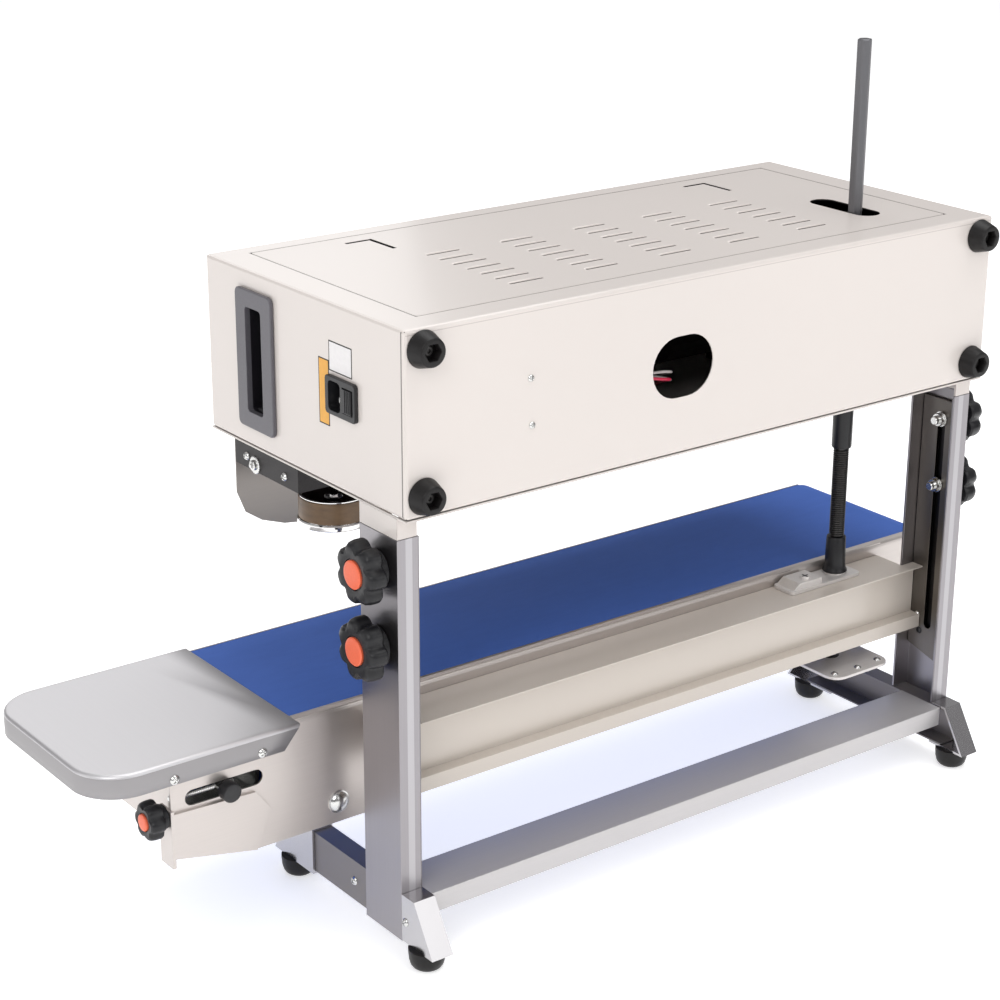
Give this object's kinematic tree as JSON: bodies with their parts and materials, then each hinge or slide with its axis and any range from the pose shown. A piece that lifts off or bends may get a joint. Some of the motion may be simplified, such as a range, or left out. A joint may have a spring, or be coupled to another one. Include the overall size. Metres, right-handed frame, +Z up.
{
  "type": "continuous band sealer",
  "caption": "Benchtop band sealer: a sealing head on a two-legged frame over a height-adjustable belt conveyor with an outfeed tray.",
  "frame": {"origin": "middle of the bounding box's base, on the floor plane under the feet", "axes": "+X towards the outfeed tray, +Y towards the rear panel that carries the four buffers, +Z up"},
  "size_m": [0.9, 0.322, 0.6605],
  "materials": {
    "head_paint": "glossy off-white enamel",
    "frame_paint": "satin cream enamel",
    "satin_aluminium": "satin",
    "brushed_steel": "brushed",
    "wheel_chrome": "polished",
    "heater_brass": "machined",
    "sealing_band": "matte woven, non-stick coated",
    "belt_blue": "matte coated fabric",
    "black_rubber": "matte",
    "black_metal": "satin black",
    "dark_steel": "oiled dark steel",
    "black_plastic": "moulded"
  },
  "bodies": {
    "base": {"bumper_1": "black_rubber", "bumper_2": "black_rubber", "bumper_3": "black_rubber", "bumper_4": "black_rubber", "cooling_block_front": "satin_aluminium", "cooling_block_rear": "satin_aluminium", "corner_bracket_left_front": "brushed_steel", "corner_bracket_left_rear": "brushed_steel", "corner_bracket_right_front": "brushed_steel", "corner_bracket_right_rear": "brushed_steel", "drive_motor": "black_metal", "foot_rail_left": "brushed_steel", "foot_rail_right": "brushed_steel", "grip": "black_plastic", "guard_plate": "brushed_steel", "head_base": "head_paint", "head_housing": "head_paint", "heating_block_front": "heater_brass", "heating_block_rear": "heater_brass", "leg_left": "satin_aluminium", "leg_right": "satin_aluminium", "mains_inlet": "black_plastic", "rear_crossbar": "brushed_steel", "rubber_foot_left_front": "black_rubber", "rubber_foot_left_rear": "black_rubber", "rubber_foot_right_front": "black_rubber", "rubber_foot_right_rear": "black_rubber", "sealing_belt_front": "sealing_band", "sealing_belt_rear": "sealing_band", "sealing_mount": "black_metal", "temperature_controller": "black_plastic", "top_cover": "head_paint"},
    "conveyor": {"slide_plate_left": "satin_aluminium", "slide_plate_right": "satin_aluminium", "cross_beam": "frame_paint", "conveyor_frame": "frame_paint", "conveyor_belt": "belt_blue", "tray": "brushed_steel", "flange_bearing": "brushed_steel", "lower_bearing_plate": "brushed_steel"},
    "drive_line": {"hex_rod": "brushed_steel", "upper_coupling": "dark_steel", "flexible_shaft": "dark_steel", "lower_coupling": "dark_steel", "drive_shaft": "brushed_steel"},
    "drive_roller_body": {"drive_roller": "brushed_steel"},
    "end_roller_body": {"end_roller": "brushed_steel"},
    "tail_roller_body": {"tail_roller": "brushed_steel"},
    "drive_wheel_rear_body": {"drive_wheel_rear": "wheel_chrome"},
    "drive_wheel_front_body": {"drive_wheel_front": "wheel_chrome"},
    "idler_wheel_rear_body": {"idler_wheel_rear": "wheel_chrome"},
    "idler_wheel_front_body": {"idler_wheel_front": "wheel_chrome"},
    "clamp_knob_left_upper_body": {"clamp_knob_left_upper": "black_plastic"},
    "clamp_knob_left_lower_body": {"clamp_knob_left_lower": "black_plastic"},
    "clamp_knob_right_upper_body": {"clamp_knob_right_upper": "black_plastic"},
    "clamp_knob_right_lower_body": {"clamp_knob_right_lower": "black_plastic"},
    "tension_knob_body": {"tension_knob": "black_plastic"},
    "speed_knob_body": {"speed_knob": "black_plastic"},
    "rocker_power_body": {"rocker_power": "black_plastic"},
    "rocker_heat_body": {"rocker_heat": "black_plastic"}
  },
  "joints": [
    {"name": "conveyor_height", "type": "slide", "parent": "base", "child": "conveyor", "axis": [0, 0, 1], "range_m": [0, 0.078]},
    {"name": "drive_line_spin", "type": "hinge", "parent": "conveyor", "child": "drive_line", "pos_m": [-0.297, 0.052, 0.293], "axis": [0, 0, 1], "continuous": true},
    {"name": "drive_roller_spin", "type": "hinge", "parent": "conveyor", "child": "drive_roller_body", "pos_m": [-0.297, -0.046, 0.15], "axis": [0, 1, 0], "continuous": true},
    {"name": "end_roller_spin", "type": "hinge", "parent": "conveyor", "child": "end_roller_body", "pos_m": [-0.41, -0.046, 0.15], "axis": [0, 1, 0], "continuous": true},
    {"name": "tail_roller_spin", "type": "hinge", "parent": "conveyor", "child": "tail_roller_body", "pos_m": [0.335, -0.046, 0.15], "axis": [0, 1, 0], "continuous": true},
    {"name": "drive_wheel_rear_spin", "type": "hinge", "parent": "base", "child": "drive_wheel_rear_body", "pos_m": [-0.335, -0.041, 0.32], "axis": [0, 0, 1], "continuous": true},
    {"name": "drive_wheel_front_spin", "type": "hinge", "parent": "base", "child": "drive_wheel_front_body", "pos_m": [-0.335, -0.101, 0.32], "axis": [0, 0, 1], "continuous": true},
    {"name": "idler_wheel_rear_spin", "type": "hinge", "parent": "base", "child": "idler_wheel_rear_body", "pos_m": [0.179, -0.041, 0.32], "axis": [0, 0, 1], "continuous": true},
    {"name": "idler_wheel_front_spin", "type": "hinge", "parent": "base", "child": "idler_wheel_front_body", "pos_m": [0.127, -0.101, 0.32], "axis": [0, 0, 1], "continuous": true},
    {"name": "clamp_knob_left_upper_turn", "type": "hinge", "parent": "base", "child": "clamp_knob_left_upper_body", "pos_m": [0.2278, 0.0947, 0.322], "axis": [1, 0, 0], "range_deg": [0, 360]},
    {"name": "clamp_knob_left_lower_turn", "type": "hinge", "parent": "base", "child": "clamp_knob_left_lower_body", "pos_m": [0.2278, 0.0947, 0.26], "axis": [1, 0, 0], "range_deg": [0, 360]},
    {"name": "clamp_knob_right_upper_turn", "type": "hinge", "parent": "base", "child": "clamp_knob_right_upper_body", "pos_m": [-0.3838, 0.0947, 0.322], "axis": [-1, 0, 0], "range_deg": [0, 360]},
    {"name": "clamp_knob_right_lower_turn", "type": "hinge", "parent": "base", "child": "clamp_knob_right_lower_body", "pos_m": [-0.3838, 0.0947, 0.26], "axis": [-1, 0, 0], "range_deg": [0, 360]},
    {"name": "tension_knob_turn", "type": "hinge", "parent": "conveyor", "child": "tension_knob_body", "pos_m": [0.3834, 0.0325, 0.1375], "axis": [1, 0, 0], "range_deg": [-360, 360]},
    {"name": "speed_knob_turn", "type": "hinge", "parent": "base", "child": "speed_knob_body", "pos_m": [-0.183, -0.1473, 0.445], "axis": [0, 1, 0], "range_deg": [0, 270]},
    {"name": "rocker_power_tilt", "type": "hinge", "parent": "base", "child": "rocker_power_body", "pos_m": [-0.133, -0.144, 0.445], "axis": [1, 0, 0], "range_deg": [0, 17]},
    {"name": "rocker_heat_tilt", "type": "hinge", "parent": "base", "child": "rocker_heat_body", "pos_m": [-0.098, -0.144, 0.445], "axis": [1, 0, 0], "range_deg": [0, 17]}
  ],
  "couplings": [
    {"joint": "drive_roller_spin", "follows": "drive_line_spin", "ratio": -1},
    {"joint": "end_roller_spin", "follows": "drive_line_spin", "ratio": -1},
    {"joint": "tail_roller_spin", "follows": "drive_line_spin", "ratio": -1},
    {"joint": "drive_wheel_rear_spin", "follows": "drive_line_spin", "ratio": -1.4035},
    {"joint": "idler_wheel_rear_spin", "follows": "drive_line_spin", "ratio": -1.4035},
    {"joint": "drive_wheel_front_spin", "follows": "drive_line_spin", "ratio": 1.4035},
    {"joint": "idler_wheel_front_spin", "follows": "drive_line_spin", "ratio": 1.4035}
  ]
}
